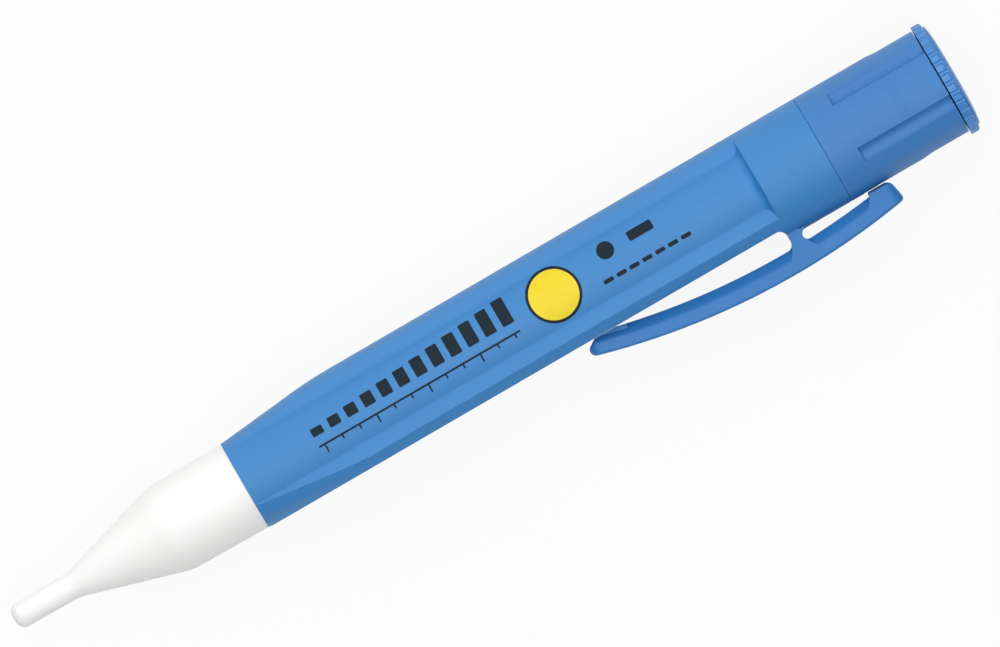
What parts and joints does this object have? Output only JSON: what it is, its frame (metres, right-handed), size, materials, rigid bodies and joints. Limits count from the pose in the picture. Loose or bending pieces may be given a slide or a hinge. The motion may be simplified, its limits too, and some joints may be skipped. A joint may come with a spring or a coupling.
{
  "type": "magnetic field indicator",
  "caption": "Pen-type magnetic field indicator: thin probe on a white nose that lights, blue barrel with a label recess, arched pocket clip, fluted battery cap and notched end wheel.",
  "frame": {"origin": "centre of the flat end face of the switch wheel, at the rear end of the pen", "axes": "+X along the pen's axis, rearwards out of the end face, so the probe tip is at -X; -Y towards the pocket clip; +Z out of the front label recess, so the pen lies on its back"},
  "size_m": [0.15, 0.0216, 0.017],
  "materials": {
    "blue_abs": "satin moulded ABS, mid blue",
    "cap_abs": "satin moulded ABS, slightly duller blue",
    "white_abs": "satin moulded white ABS that lets the lamp glow through",
    "board_laminate": "green solder mask",
    "black_epoxy": "matte moulded epoxy",
    "lamp_epoxy": "clear red cast epoxy",
    "tan_ceramic": "fired chip ceramic",
    "black_nylon": "matte moulded nylon",
    "nickel_contact": "nickel-plated spring steel",
    "cell_jacket": "plain dark printed jacket on a steel can",
    "brass_strip": "rolled brass strip",
    "seal_rubber": "nitrile rubber",
    "spring_steel": "phosphated spring steel"
  },
  "bodies": {
    "barrel": {"barrel": "blue_abs", "nose_cone": "white_abs", "circuit_board": "board_laminate", "field_sensor": "black_epoxy", "indicator_led": "lamp_epoxy", "control_chip": "black_epoxy", "chip_resistors": "black_epoxy", "chip_capacitors": "tan_ceramic", "contact_carrier": "black_nylon", "front_contact": "nickel_contact", "battery_cell_front": "cell_jacket", "battery_cell_rear": "cell_jacket", "return_strip": "brass_strip", "cap_seal": "seal_rubber"},
    "clip": {"pocket_clip": "blue_abs"},
    "cap": {"rear_cap": "cap_abs", "shaft_seal": "seal_rubber", "cap_contact_ring": "brass_strip", "spring_plate": "nickel_contact", "battery_spring": "nickel_contact"},
    "wheel": {"switch_wheel": "cap_abs", "retaining_ring": "spring_steel", "switch_rotor": "black_nylon", "rotor_wiper": "brass_strip"}
  },
  "joints": [
    {"name": "clip_flex", "type": "hinge", "parent": "barrel", "child": "clip", "pos_m": [-0.0302, -0.00735, 0], "axis": [0, 0, 1], "range_deg": [0, 3], "stiffness_Nm_per_rad": 1},
    {"name": "cap_pull", "type": "slide", "parent": "barrel", "child": "cap", "axis": [1, 0, 0], "range_m": [0, 0.03]},
    {"name": "wheel_turn", "type": "hinge", "parent": "cap", "child": "wheel", "pos_m": [0, 0, 0], "axis": [1, 0, 0], "range_deg": [0, 90]}
  ]
}
